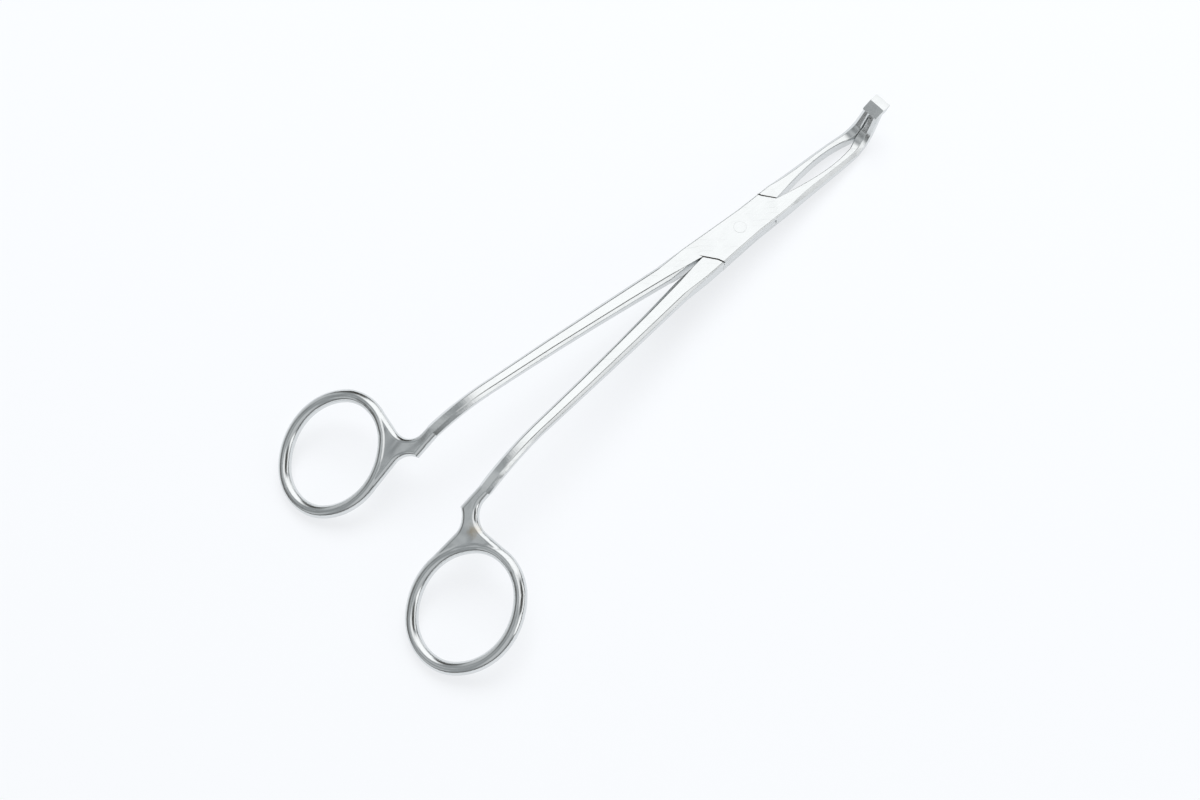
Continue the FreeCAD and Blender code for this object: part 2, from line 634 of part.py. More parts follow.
def prong(body):
    """The cross prong that ends the box half's jaw and laps over the other tip."""
    half = "dims.tip_end_depth / 2 / sin(%s)" % RISE
    drop = "dims.prong_thickness / tan(%s)" % RISE
    back = "%s - %s - dims.prong_overhang" % (TIP_X, half)
    front = "%s + %s" % (TIP_X, half)
    low = "%s - dims.prong_thickness" % TIP_Z
    corners = [
        ("%s - %s" % (back, drop), low),
        ("%s - %s" % (front, drop), low),
        ("%s + dims.prong_lip" % front, "%s + dims.prong_lip_rise" % TIP_Z),
        ("%s + dims.prong_lip - dims.prong_lip_run" % front, TIP_Z),
        ("%s + dims.prong_slope_run" % back, TIP_Z),
        ("%s - dims.prong_slope_drop / tan(%s)" % (back, RISE),
         "%s - dims.prong_slope_drop" % TIP_Z),
    ]
    sketch = new_sketch(body, "prong_outline", "XZ_Plane")
    outline(sketch, corners)
    return pad(body, "prong", sketch, "dims.tip_end_width + 2 * dims.prong_overhang")


# The box half
box_half = doc.addObject("PartDesign::Body", "box_half")
neck_and_ring(box_half, BOX_SIDE)
box_lock(box_half)
shank(box_half, BOX_SIDE)
jaw(box_half, -BOX_SIDE)
cut_above(box_half, "%s - (dims.prong_thickness + dims.prong_slope_drop) / 2" % TIP_Z)
notch = tooth_profile(box_half, "notch_outline", -TONGUE_SIDE, "dims.tooth_clearance")
pocket(box_half, "tooth_notch", notch, "2 * dims.jaw_height")
prong(box_half)
doc.recompute()

# The tongue half
tongue_half = doc.addObject("PartDesign::Body", "tongue_half")
neck_and_ring(tongue_half, TONGUE_SIDE)
tongue_lock(tongue_half)
shank(tongue_half, TONGUE_SIDE)
jaw(tongue_half, -TONGUE_SIDE)
tooth = tooth_profile(tongue_half, "tooth_outline", -TONGUE_SIDE, "0")
pad(tongue_half, "tooth", tooth, "dims.tooth_width")
cut_above(tongue_half, STUB_Z)
doc.recompute()

# The rivet, ground flush with both cheeks
lock_pin = doc.addObject("PartDesign::Body", "lock_pin")
pin_outline = new_sketch(lock_pin, "rivet_outline", "XY_Plane")
rounds(pin_outline, [("0", "0")], "dims.pin_diameter")
pad(lock_pin, "rivet", pin_outline, "dims.lock_thickness")
doc.recompute()


def rest_tilt():
    """The table's tilt in the lock's frame, touched by the rings' far ends and the heels."""
    slope = math.radians(number("dims.ring_slope_angle"))
    reach = number(END_REACH)
    ring_x = number(RING_X) - reach * math.cos(slope)
    ring_z = number(RING_Z) - reach * math.sin(slope)
    edge = number("dims.wire_diameter / 2")
    heel_x = number("dims.jaw_bend_reach")
    heel_z = number("%s + dims.jaw_bend_radius" % JAW_LEVEL)
    heel = number("dims.jaw_bend_radius + dims.jaw_height / 2")
    low, high = 0.0, slope
    for _ in range(60):
        tilt = (low + high) / 2
        ring = ring_x * math.sin(tilt) - ring_z * math.cos(tilt) + edge
        jaws = heel_x * math.sin(tilt) - heel_z * math.cos(tilt) + heel
        if ring > jaws:
            low = tilt
        else:
            high = tilt
    return math.degrees(tilt), jaws


bodies = [box_half, tongue_half, lock_pin]
tilt, depth = rest_tilt()
turn = Rotation(Vector(0, 1, 0), tilt)
spans = []
for body in bodies:
    turned = body.Shape.copy()
    turned.Placement = Placement(Vector(), turn) * turned.Placement
    spans.append(turned.optimalBoundingBox())
middle_x = (min(box.XMin for box in spans) + max(box.XMax for box in spans)) / 2
middle_y = (min(box.YMin for box in spans) + max(box.YMax for box in spans)) / 2
lowest = min(box.ZMin for box in spans)
rest = Placement(Vector(-middle_x, -middle_y, -lowest), turn)
for body in bodies:
    body.Placement = rest
doc.recompute()

# Checks, then one STEP file for each part
for item in doc.Objects:
    if "Invalid" in item.State or "Error" in item.State:
        raise RuntimeError("%s did not build: %s" % (item.Name, item.State))
os.makedirs("parts", exist_ok=True)
for body in bodies:
    shape = body.Shape
    if shape.isNull() or not shape.isValid() or len(shape.Solids) != 1:
        raise RuntimeError(body.Name + " is not one valid solid")
    shape.exportStep("parts/%s.step" % body.Name)
    box = shape.optimalBoundingBox()
    print("%s volume %.2f box %.3f %.3f %.3f to %.3f %.3f %.3f faces %d" % (
        body.Name, shape.Volume, box.XMin, box.YMin, box.ZMin, box.XMax, box.YMax, box.ZMax,
        len(shape.Faces)))
print("tilt %.5f pivot %.5f %.5f %.5f ring %.4f %.4f" % (
    tilt, rest.Base.x, rest.Base.y, rest.Base.z, number(RING_X), number(RING_Z)))
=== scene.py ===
# %% [markdown]
# # Tonsil forceps
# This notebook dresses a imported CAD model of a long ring-handled forceps in Blender.
# The CAD gives every shape: two forged halves that cross in a box lock, and the rivet
# that they turn on. Blender adds what a maker gives them at the end: eased edges,
# ground and polished steel, and plain light on a white table.

# %% Load the frame
import json
import math

import bmesh
import bpy
from mathutils import Matrix, Vector


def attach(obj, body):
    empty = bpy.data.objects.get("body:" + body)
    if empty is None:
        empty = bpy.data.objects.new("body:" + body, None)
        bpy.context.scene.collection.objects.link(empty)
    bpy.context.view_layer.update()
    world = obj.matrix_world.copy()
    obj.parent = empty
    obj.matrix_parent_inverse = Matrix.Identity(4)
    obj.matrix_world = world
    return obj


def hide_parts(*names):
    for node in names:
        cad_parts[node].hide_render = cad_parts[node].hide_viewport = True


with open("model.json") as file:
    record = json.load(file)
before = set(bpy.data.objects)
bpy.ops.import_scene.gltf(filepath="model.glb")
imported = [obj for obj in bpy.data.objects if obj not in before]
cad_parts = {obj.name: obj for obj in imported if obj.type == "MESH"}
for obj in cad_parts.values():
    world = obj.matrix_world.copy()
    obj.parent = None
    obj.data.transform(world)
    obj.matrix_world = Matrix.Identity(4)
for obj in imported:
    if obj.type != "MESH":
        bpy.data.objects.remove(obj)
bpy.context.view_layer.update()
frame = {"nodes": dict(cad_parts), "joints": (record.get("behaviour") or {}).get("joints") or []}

scene = bpy.context.scene
scene.view_settings.view_transform = "Standard"

# %% [markdown]
# ## The lock's frame
# The lock's two cheeks are flat and parallel, and both shanks lie level with them, but
# the forceps rests tilted, on its finger rings and the heels of its jaws. Grinding runs
# along the lock and the shanks, so the patterns are laid out in the lock's own frame.
# The joint gives that frame: its position is the rivet's middle and its axis is up.

# %% Find the pivot
PIVOT = Vector(frame["joints"][0]["pos_m"])
PIVOT_AXIS = Vector(frame["joints"][0]["axis"]).normalized()
TILT = math.atan2(PIVOT_AXIS.x, PIVOT_AXIS.z)
LOCK_FRAME = Matrix.Translation(PIVOT) @ Matrix.Rotation(TILT, 4, "Y")
print("lock tilted by %.2f degrees" % math.degrees(TILT))

# %% [markdown]
# ## The camera
# The photograph looks down on the forceps from over its rings, about twenty degrees off
# the upright, with the tips at the upper right. Its place and turn were worked out from
# points that can be told apart in the picture, such as the lock's corners, the stops
# and the rings, so it is written as one fixed matrix: right, up and back, then place.

# %% Place the camera
CAMERA_RIGHT = (0.745455, -0.655548, -0.120638)
CAMERA_UP = (0.653722, 0.683673, 0.324385)
CAMERA_BACK = (-0.130172, -0.320678, 0.938201)
CAMERA_PLACE = (-0.061258, -0.120480, 0.332214)
LENS_MM = 42.0
SENSOR_MM = 36.0

camera_data = bpy.data.cameras.new("camera")
camera_data.lens = LENS_MM
camera_data.sensor_width = SENSOR_MM
camera_data.clip_start = 0.01
camera_data.clip_end = 20.0
camera = bpy.data.objects.new("camera", camera_data)
scene.collection.objects.link(camera)
turn = Matrix((CAMERA_RIGHT, CAMERA_UP, CAMERA_BACK)).transposed().to_4x4()
camera.matrix_world = Matrix.Translation(CAMERA_PLACE) @ turn
scene.camera = camera
print("camera %.0f mm from the lock" % ((Vector(CAMERA_PLACE) - PIVOT).length * 1000))

# %% [markdown]
# ## The table
# White goods tables are lit by large soft boxes, so the shadows are faint and cool. The
# table's colour makes the white, not the lamps: to the camera it is mostly a plain white
# glow, and the rest is an ordinary white surface that takes the shadow. The steel's
# reflections see the same white, but only as far as the table reaches.

# %% Lay the table
TABLE_GLOW = (0.955, 0.966, 0.985, 1.0)
TABLE_WHITE = (0.90, 0.93, 0.97, 1.0)
SHADOW_SHARE = 0.24
TABLE_SIZE = 3.0

bpy.ops.object.select_all(action="DESELECT")
bpy.ops.mesh.primitive_plane_add(size=TABLE_SIZE, location=(0.0, 0.0, 0.0))
table = bpy.context.object
table.name = "table"
table_material = bpy.data.materials.new("white_table")
table_material.use_nodes = True
nodes = table_material.node_tree.nodes
links = table_material.node_tree.links
nodes.clear()
table_out = nodes.new("ShaderNodeOutputMaterial")
surface = nodes.new("ShaderNodeBsdfDiffuse")
surface.inputs["Color"].default_value = TABLE_WHITE
glow = nodes.new("ShaderNodeEmission")
glow.inputs["Color"].default_value = TABLE_GLOW
glow.inputs["Strength"].default_value = 1.0
seen = nodes.new("ShaderNodeLightPath")
camera_or_gloss = nodes.new("ShaderNodeMath")
camera_or_gloss.operation = "MAXIMUM"
links.new(seen.outputs["Is Camera Ray"], camera_or_gloss.inputs[0])
links.new(seen.outputs["Is Glossy Ray"], camera_or_gloss.inputs[1])
through = nodes.new("ShaderNodeMath")
through.operation = "MAXIMUM"
links.new(camera_or_gloss.outputs[0], through.inputs[0])
links.new(seen.outputs["Is Transmission Ray"], through.inputs[1])
glow_share = nodes.new("ShaderNodeMath")
glow_share.operation = "MULTIPLY"
glow_share.inputs[1].default_value = 1.0 - SHADOW_SHARE
links.new(through.outputs[0], glow_share.inputs[0])
table_mix = nodes.new("ShaderNodeMixShader")
links.new(glow_share.outputs[0], table_mix.inputs["Fac"])
links.new(surface.outputs["BSDF"], table_mix.inputs[1])
links.new(glow.outputs["Emission"], table_mix.inputs[2])
links.new(table_mix.outputs["Shader"], table_out.inputs["Surface"])
table.data.materials.append(table_material)
print("table %.1f m across" % TABLE_SIZE)

# %% [markdown]
# ## The room
# Polished steel has hardly any colour of its own and shows the room, so the room is where
# its look is made. Here it is a sky of plain patches. Large soft boxes hang over the jaws
# and beyond them, and whiten the lock's flat top. Lower ones stand at the side and round
# the rings, and light the bevels and the rings' flanks. Between them the room is mid
# grey, and it has dark places: a belt at the horizon and three dark walls, which draw the
# thin dark lines along every rounded edge. A photographer hangs black cards for that.

# %% The room's levels
ROOM_GREY = 0.34
BELT_GREY = 0.03
BELT_TOP, BELT_END = 0.06, 0.30
SOFT_PATCHES = (
    # name, direction, full inside this cosine, gone outside this one, level
    ("over the jaws", (0.50, 0.30, 0.81), 0.93, 0.72, 1.34),
    ("beyond the jaws", (0.84, 0.08, 0.52), 0.95, 0.82, 1.20),
    ("overhead", (-0.08, -0.10, 0.99), 0.975, 0.92, 1.10),
    ("low at the side", (0.12, -0.88, 0.46), 0.972, 0.93, 1.35),
    ("low beyond the side", (0.55, -0.70, 0.45), 0.97, 0.90, 1.15),
    ("over the rings", (-0.50, 0.28, 0.82), 0.995, 0.955, 0.62),
    ("past the rings", (-0.90, 0.20, 0.38), 0.985, 0.95, 0.60),
    ("beside the rings, near", (-0.54, -0.55, 0.63), 0.955, 0.83, 0.62),
    ("beside the rings, far", (-0.45, 0.86, 0.22), 0.955, 0.83, 0.62),
)
DARK_WALLS = (
    # name, direction, full inside this cosine, gone outside this one, what is left
    ("above the shanks", (0.28, -0.60, 0.75), 0.965, 0.915, 0.12),
    ("on the far side", (0.38, 0.86, 0.33), 0.965, 0.90, 0.12),
    ("far past the rings", (-0.74, 0.52, 0.42), 0.99, 0.955, 0.35),
)
print("room with %d soft boxes and %d dark walls" % (len(SOFT_PATCHES), len(DARK_WALLS)))

# %% Build the sky
world = bpy.data.worlds.new("studio")
scene.world = world
world.use_nodes = True
nodes = world.node_tree.nodes
links = world.node_tree.links
nodes.clear()
toward = nodes.new("ShaderNodeTexCoord").outputs["Generated"]


def sky_math(operation, first, second):
    """One Math node between two sockets or numbers."""
    node = nodes.new("ShaderNodeMath")
    node.operation = operation
    for socket, value in zip(node.inputs, (first, second)):
        if isinstance(value, (int, float)):
            socket.default_value = value
        else:
            links.new(value, socket)
    return node.outputs[0]


def round_patch(name, direction, full, gone, low, high):
    """A value that is high round a direction and low away from it."""
    facing = nodes.new("ShaderNodeVectorMath")
    facing.operation = "DOT_PRODUCT"
    facing.inputs[1].default_value = Vector(direction).normalized()
    links.new(toward, facing.inputs[0])
    patch = nodes.new("ShaderNodeMapRange")
    patch.label = name
    patch.interpolation_type = "SMOOTHSTEP"
    patch.inputs["From Min"].default_value = gone
    patch.inputs["From Max"].default_value = full
    patch.inputs["To Min"].default_value = low
    patch.inputs["To Max"].default_value = high
    links.new(facing.outputs["Value"], patch.inputs["Value"])
    return patch.outputs["Result"]


height = nodes.new("ShaderNodeSeparateXYZ")
links.new(toward, height.inputs["Vector"])
belt = nodes.new("ShaderNodeMapRange")
belt.interpolation_type = "SMOOTHSTEP"
belt.inputs["From Min"].default_value = BELT_TOP
belt.inputs["From Max"].default_value = BELT_END
belt.inputs["To Min"].default_value = BELT_GREY
belt.inputs["To Max"].default_value = ROOM_GREY
links.new(height.outputs["Z"], belt.inputs["Value"])
total = belt.outputs["Result"]
for name, direction, full, gone, strength in SOFT_PATCHES:
    total = sky_math("MAXIMUM", total, round_patch(name, direction, full, gone, 0.0, strength))
for name, direction, full, gone, left in DARK_WALLS:
    total = sky_math("MULTIPLY", total, round_patch(name, direction, full, gone, 1.0, left))
print("sky nodes:", len(nodes))

# %% [markdown]
# The dark places are a little warm and the bright ones a little cool, which is what gives
# steel its olive lines beside blue-white ones. The camera, where it looks past the table,
# sees plain white instead of the room, as in a goods photograph, and the steel takes a
# small share of that white too, as a thin veil over its darks.

# %% Colour the sky and close it
SKY_TINTS = (
    # level, tint
    (0.0, (1.0, 0.90, 0.70, 1.0)),
    (0.24, (0.91, 0.97, 1.0, 1.0)),
    (0.9, (1.0, 1.0, 1.0, 1.0)),
)
VEIL = 0.04

tints = nodes.new("ShaderNodeValToRGB")
tints.color_ramp.elements[0].position, tints.color_ramp.elements[0].color = SKY_TINTS[0]
tints.color_ramp.elements[1].position, tints.color_ramp.elements[1].color = SKY_TINTS[2]
middle_tint = tints.color_ramp.elements.new(SKY_TINTS[1][0])
middle_tint.color = SKY_TINTS[1][1]
links.new(total, tints.inputs["Fac"])
tinted_sky = nodes.new("ShaderNodeVectorMath")
tinted_sky.operation = "SCALE"
links.new(tints.outputs["Color"], tinted_sky.inputs[0])
links.new(total, tinted_sky.inputs["Scale"])
room = nodes.new("ShaderNodeBackground")
links.new(tinted_sky.outputs["Vector"], room.inputs["Color"])
white = nodes.new("ShaderNodeBackground")
white.inputs["Color"].default_value = TABLE_GLOW
eye = nodes.new("ShaderNodeLightPath")
sees_white = sky_math("MAXIMUM", eye.outputs["Is Camera Ray"], eye.outputs["Is Transmission Ray"])
veil = sky_math("MULTIPLY", eye.outputs["Is Glossy Ray"], VEIL)
room_or_white = nodes.new("ShaderNodeMixShader")
links.new(sky_math("MAXIMUM", sees_white, veil), room_or_white.inputs["Fac"])
links.new(room.outputs["Background"], room_or_white.inputs[1])
links.new(white.outputs["Background"], room_or_white.inputs[2])
world_out = nodes.new("ShaderNodeOutputWorld")
links.new(room_or_white.outputs["Shader"], world_out.inputs["Surface"])
print("sky closed, veil %.0f%%" % (VEIL * 100))

# %% [markdown]
# A lamp gives the shadows a direction. It hangs inside the bright patch of the room, is
# large, and stands far off, so that its shadow has a very soft edge.

# %% Hang the lamp
LAMP_PLACE = (0.62, 0.38, 0.98)
LAMP_AIM = (0.0, 0.0, 0.0)
LAMP_SIZE = 0.75
LAMP_WATTS = 8.6
LAMP_COLOUR = (0.98, 0.99, 1.0)


def soft_box(name, place, aim, size, power):
    """A square area lamp at a place in metres, turned to face a point."""
    data = bpy.data.lights.new(name, "AREA")
    data.shape = "SQUARE"
    data.size = size
    data.energy = power
    data.color = LAMP_COLOUR
    lamp = bpy.data.objects.new(name, data)
    scene.collection.objects.link(lamp)
    lamp.location = place
    lamp.rotation_euler = (Vector(aim) - Vector(place)).to_track_quat("-Z", "Y").to_euler()
    lamp.visible_glossy = False
    print("%s: %.1f W" % (name, power))


soft_box("key_box", LAMP_PLACE, LAMP_AIM, LAMP_SIZE, LAMP_WATTS)

# %% [markdown]
# ## The halves
# A forged instrument leaves the grinding belts with its long edges rounded over, and those
# narrow rounded edges are what the eye reads as steel: each catches the light, or the dark
# places of the room, as a fine line. The CAD's edges are perfectly sharp. Each half is
# therefore copied, its loose triangles are merged and the flat ones joined into whole
# faces, and its edges are bevelled. Steps of less than a tenth of a millimetre are merged
# too, because a bevel that is wider than the edge it starts from throws out a spike.

# %% Copy a half
MM = 0.001
SMALL_STEP = 0.075 * MM
FLAT_ANGLE = math.radians(0.5)


def copy_of_node(name):
    """A merged copy of a CAD node, its flat faces whole, ready for edge work."""
    piece = bpy.data.objects.new("finished_" + name, frame["nodes"][name].data.copy())
    scene.collection.objects.link(piece)
    bpy.ops.object.select_all(action="DESELECT")
    piece.select_set(True)
    bpy.context.view_layer.objects.active = piece
    bpy.ops.object.mode_set(mode="EDIT")
    bpy.ops.mesh.select_all(action="SELECT")
    bpy.ops.mesh.remove_doubles(threshold=SMALL_STEP)
    bpy.ops.mesh.customdata_custom_splitnormals_clear()
    bpy.ops.mesh.dissolve_limited(angle_limit=FLAT_ANGLE)
    bpy.ops.object.mode_set(mode="OBJECT")
    return piece


halves = {name: copy_of_node(name) for name in ("box_half", "tongue_half")}
print({name: len(half.data.polygons) for name, half in halves.items()})

# %% [markdown]
# Which edges are which is told by their place in the lock's frame, in millimetres from the
# rivet. The seams lie on the cheeks' outer faces, 2.2 mm above and below the middle and
# about eleven from the rivet. What is nearer to the middle than 1 mm is the hidden tongue.
# The web of each ring is rounded in the CAD already, and under one jaw's tip a stub ends
# in edges too short to break, so those stay.

# %% Tell the edges apart
EDGE_ANGLE = math.radians(28.0)
CHEEK_HEIGHT = 2.2
SLOT_HALF = 0.95
LOCK_HALF = 13.6
WEB_START = -86.5
STUB = Vector((45.2, -0.9, 7.9))
STUB_REACH = 1.1
SEAM_NEAREST, SEAM_FARTHEST = 10.7, 12.9
SEAM_DEPTH = 0.4
SEAM_HALF_WIDTH = 5.0
SEAM_LEAST_ACROSS = 0.6
IN_LOCK = LOCK_FRAME.inverted()


def on_seam(first, second):
    """Both ends on a cheek's face, and the edge crosses the bar."""
    for end in (first, second):
        from_rivet = math.hypot(end.x, end.y)
        if abs(abs(end.z) - CHEEK_HEIGHT) > SEAM_DEPTH or abs(end.y) > SEAM_HALF_WIDTH:
            return False
        if not SEAM_NEAREST < from_rivet < SEAM_FARTHEST:
            return False
    return abs(second.y - first.y) > SEAM_LEAST_ACROSS * (second - first).length


def stays_sharp(first, second):
    """An edge in the hidden tongue, on a web or at the stub."""
    middle = (first + second) / 2
    hidden = abs(middle.z) < SLOT_HALF and abs(middle.x) < LOCK_HALF
    return hidden or min(first.x, second.x) < WEB_START or (middle - STUB).length < STUB_REACH


def select_edges(piece, wanted):
    """Select the sharp edges whose ends, in millimetres in the lock's frame, are wanted."""
    bpy.ops.object.select_all(action="DESELECT")
    piece.select_set(True)
    bpy.context.view_layer.objects.active = piece
    bpy.ops.object.mode_set(mode="EDIT")
    bpy.ops.mesh.select_mode(type="EDGE")
    bpy.ops.mesh.select_all(action="DESELECT")
    mesh = bmesh.from_edit_mesh(piece.data)
    count = 0
    for edge in mesh.edges:
        if len(edge.link_faces) == 2 and edge.calc_face_angle() > EDGE_ANGLE:
            ends = [(IN_LOCK @ corner.co) / MM for corner in edge.verts]
            if wanted(*ends):
                edge.select_set(True)
                count += 1
    bmesh.update_edit_mesh(piece.data)
    return count


print("seams at %.1f mm, webs from %.1f mm" % (CHEEK_HEIGHT, WEB_START))

# %% [markdown]
# The two seams of the lock come first. Their bevel takes the second material slot, which gets
# a dark material: painted shade that stands in for the shadow down in the seams.

# %% Open the seams
SEAM_BREAK = 0.14 * MM
for name, half in halves.items():
    # Slot 1, added here, takes the seams' painted shade.
    half.data.materials.append(None)
    seams = select_edges(half, on_seam)
    if seams:
        bpy.ops.mesh.bevel(
            offset=SEAM_BREAK, offset_type="OFFSET", segments=2, profile=0.5,
            affect="EDGES", clamp_overlap=False, material=1)
    bpy.ops.object.mode_set(mode="OBJECT")
    print("%s: %d seam edges" % (name, seams))

# %% [markdown]
# The other edges get a bevel weight each, by their place: all of it on the shanks, whose
# edges are well rounded over, less on the lock and the jaws, and tapered where a shank runs
# into its web. One Bevel modifier then makes them all, and blends where the weight changes
# along an edge.

# %% Round the long edges
EDGE_BREAK = 0.26 * MM
WEIGHTS = (
    # distance along the bar in millimetres, weight there
    (-86.0, 0.10),
    (-76.0, 1.0),
    (-26.0, 1.0),
    (-23.0, 0.35),
)


def weight_at(x):
    """The bevel weight at a distance along the bar, in millimetres from the rivet."""
    if x <= WEIGHTS[0][0]:
        return WEIGHTS[0][1]
    for (start_x, start_weight), (end_x, end_weight) in zip(WEIGHTS, WEIGHTS[1:]):
        if x <= end_x:
            share = (x - start_x) / (end_x - start_x)
            return start_weight + share * (end_weight - start_weight)
    return WEIGHTS[-1][1]


for name, half in halves.items():
    count = select_edges(half, lambda first, second: not stays_sharp(first, second))
    mesh = bmesh.from_edit_mesh(half.data)
    weights = mesh.edges.layers.float.new("bevel_weight_edge")
    for edge in mesh.edges:
        if edge.select:
            middle = (edge.verts[0].co + edge.verts[1].co) / 2
            edge[weights] = weight_at((IN_LOCK @ middle).x / MM)
    bmesh.update_edit_mesh(half.data)
    bpy.ops.object.mode_set(mode="OBJECT")
    rounding = half.modifiers.new("rounded edges", "BEVEL")
    rounding.limit_method = "WEIGHT"
    rounding.width = EDGE_BREAK
    rounding.segments = 3
    rounding.use_clamp_overlap = False
    bpy.ops.object.modifier_apply(modifier=rounding.name)
    print("%s: %d edges rounded" % (name, count))

# %% [markdown]
# Smooth shading would let each narrow rounding bend the look of the wide flats beside it.
# Normals weighted by the size of their faces keep the flats flat and leave all the turning
# to the rounding, which is how a ground edge looks. Then each half joins its body.

# %% Join the halves to their bodies
SMOOTH_ANGLE = math.radians(24.0)
for name, body in (("box_half", "box_side"), ("tongue_half", "tongue_side")):
    half = halves[name]
    bpy.ops.object.select_all(action="DESELECT")
    half.select_set(True)
    bpy.context.view_layer.objects.active = half
    bpy.ops.object.shade_smooth_by_angle(angle=SMOOTH_ANGLE)
    flats = half.modifiers.new("flats stay flat", "WEIGHTED_NORMAL")
    flats.keep_sharp = True
    bpy.ops.object.modifier_apply(modifier=flats.name)
    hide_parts(name)
    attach(half, body)
    print("%s: %d faces" % (half.name, len(half.data.polygons)))

# %% [markdown]
# ## Steel
# Both halves are one bar of stainless steel, finished in two ways. The lock, the shanks
# and the jaws are ground along their length to a satin, and the rings and necks are
# polished on soft wheels, which leaves a brighter surface that is never quite flat, and a
# few short strokes across the necks. Four node groups hold what varies: the grinding, the
# hand polishing, the marks of handling, and a way to blend between places along the bar.

# %% Helpers for node groups
VALUE, VECTOR = "NodeSocketFloat", "NodeSocketVector"


def new_group(name, inputs, outputs):
    """An empty node group with named value or vector sockets."""
    group = bpy.data.node_groups.new(name, "ShaderNodeTree")
    for label, kind, value in inputs:
        socket = group.interface.new_socket(name=label, in_out="INPUT", socket_type=kind)
        if value is not None:
            socket.default_value = value
    for label, kind in outputs:
        group.interface.new_socket(name=label, in_out="OUTPUT", socket_type=kind)
    return group, group.nodes.new("NodeGroupInput"), group.nodes.new("NodeGroupOutput")


def steps_of(tree, value, low, high):
    """A smooth step of a value between low and high."""
    step = tree.nodes.new("ShaderNodeMapRange")
    step.interpolation_type = "SMOOTHSTEP"
    step.inputs["From Min"].default_value = low
    step.inputs["From Max"].default_value = high
    tree.links.new(value, step.inputs["Value"])
    return step.outputs["Result"]


print("helpers ready")

# %% [markdown]
# Grinding lines are noise that is stretched along the bar: slow changes one way and very
# quick ones the other way.

# %% Group for the grinding lines
grinding, start, end = new_group(
    "grinding lines",
    [("Place", VECTOR, None), ("Along", VALUE, 90.0), ("Across", VALUE, 7000.0)],
    [("Lines", VALUE)])
stretch = grinding.nodes.new("ShaderNodeCombineXYZ")
grinding.links.new(start.outputs["Along"], stretch.inputs["X"])
grinding.links.new(start.outputs["Across"], stretch.inputs["Y"])
grinding.links.new(start.outputs["Across"], stretch.inputs["Z"])
scaled = grinding.nodes.new("ShaderNodeVectorMath")
scaled.operation = "MULTIPLY"
grinding.links.new(start.outputs["Place"], scaled.inputs[0])
grinding.links.new(stretch.outputs["Vector"], scaled.inputs[1])
threads = grinding.nodes.new("ShaderNodeTexNoise")
threads.inputs["Scale"].default_value = 1.0
threads.inputs["Detail"].default_value = 3.0
threads.inputs["Roughness"].default_value = 0.65
grinding.links.new(scaled.outputs["Vector"], threads.inputs["Vector"])
grinding.links.new(steps_of(grinding, threads.outputs["Fac"], 0.30, 0.70), end.inputs["Lines"])
print("group:", grinding.name)

# %% [markdown]
# Hand polishing leaves long soft waves that can't be felt, but bend the reflections. The
# waves are a slow noise, and their height goes into the bump with the other lines.

# %% Group for hand polishing
polishing, start, end = new_group(
    "hand polishing",
    [("Place", VECTOR, None), ("Along", VALUE, 60.0), ("Across", VALUE, 250.0)],
    [("Waves", VALUE)])
draw_out = polishing.nodes.new("ShaderNodeCombineXYZ")
polishing.links.new(start.outputs["Along"], draw_out.inputs["X"])
polishing.links.new(start.outputs["Across"], draw_out.inputs["Y"])
polishing.links.new(start.outputs["Across"], draw_out.inputs["Z"])
drawn = polishing.nodes.new("ShaderNodeVectorMath")
drawn.operation = "MULTIPLY"
polishing.links.new(start.outputs["Place"], drawn.inputs[0])
polishing.links.new(draw_out.outputs["Vector"], drawn.inputs[1])
swell = polishing.nodes.new("ShaderNodeTexNoise")
swell.inputs["Detail"].default_value = 1.2
swell.inputs["Roughness"].default_value = 0.35
swell.inputs["Distortion"].default_value = 0.3
swell.inputs["Scale"].default_value = 1.0
polishing.links.new(drawn.outputs["Vector"], swell.inputs["Vector"])
polishing.links.new(swell.outputs["Fac"], end.inputs["Waves"])
print("group:", polishing.name)

# %% [markdown]
# Handling leaves faint haze and a few thin curved scratches. The scratches are the crests
# of a distorted wave, kept only where the haze is.

# %% Group for handling marks
handling, start, end = new_group(
    "handling marks", [("Place", VECTOR, None)], [("Haze", VALUE), ("Scratches", VALUE)])
cloud = handling.nodes.new("ShaderNodeTexNoise")
cloud.inputs["Scale"].default_value = 170.0
cloud.inputs["Detail"].default_value = 4.0
cloud.inputs["Distortion"].default_value = 0.6
handling.links.new(start.outputs["Place"], cloud.inputs["Vector"])
haze = steps_of(handling, cloud.outputs["Fac"], 0.38, 0.75)
handling.links.new(haze, end.inputs["Haze"])
crests = handling.nodes.new("ShaderNodeTexWave")
crests.wave_type = "BANDS"
crests.bands_direction = "DIAGONAL"
crests.inputs["Scale"].default_value = 260.0
crests.inputs["Distortion"].default_value = 9.0
crests.inputs["Detail"].default_value = 2.0
crests.inputs["Detail Scale"].default_value = 0.35
handling.links.new(start.outputs["Place"], crests.inputs["Vector"])
some = handling.nodes.new("ShaderNodeMath")
some.operation = "MULTIPLY"
handling.links.new(steps_of(handling, crests.outputs["Fac"], 0.985, 1.0), some.inputs[0])
handling.links.new(haze, some.inputs[1])
handling.links.new(some.outputs[0], end.inputs["Scratches"])
print("group:", handling.name)

# %% [markdown]
# The last group says how far along the bar a point lies, in the lock's frame, as a mask
# that rises from nothing to all of it between two places.

# %% Group for places along the bar
along, start, end = new_group(
    "place along the bar",
    [("Place", VECTOR, None), ("From", VALUE, 0.0), ("To", VALUE, 0.01)], [("Mask", VALUE)])
split = along.nodes.new("ShaderNodeSeparateXYZ")
along.links.new(start.outputs["Place"], split.inputs["Vector"])
rise = along.nodes.new("ShaderNodeMapRange")
rise.interpolation_type = "SMOOTHSTEP"
along.links.new(split.outputs["X"], rise.inputs["Value"])
along.links.new(start.outputs["From"], rise.inputs["From Min"])
along.links.new(start.outputs["To"], rise.inputs["From Max"])
along.links.new(rise.outputs["Result"], end.inputs["Mask"])
print("group:", along.name)

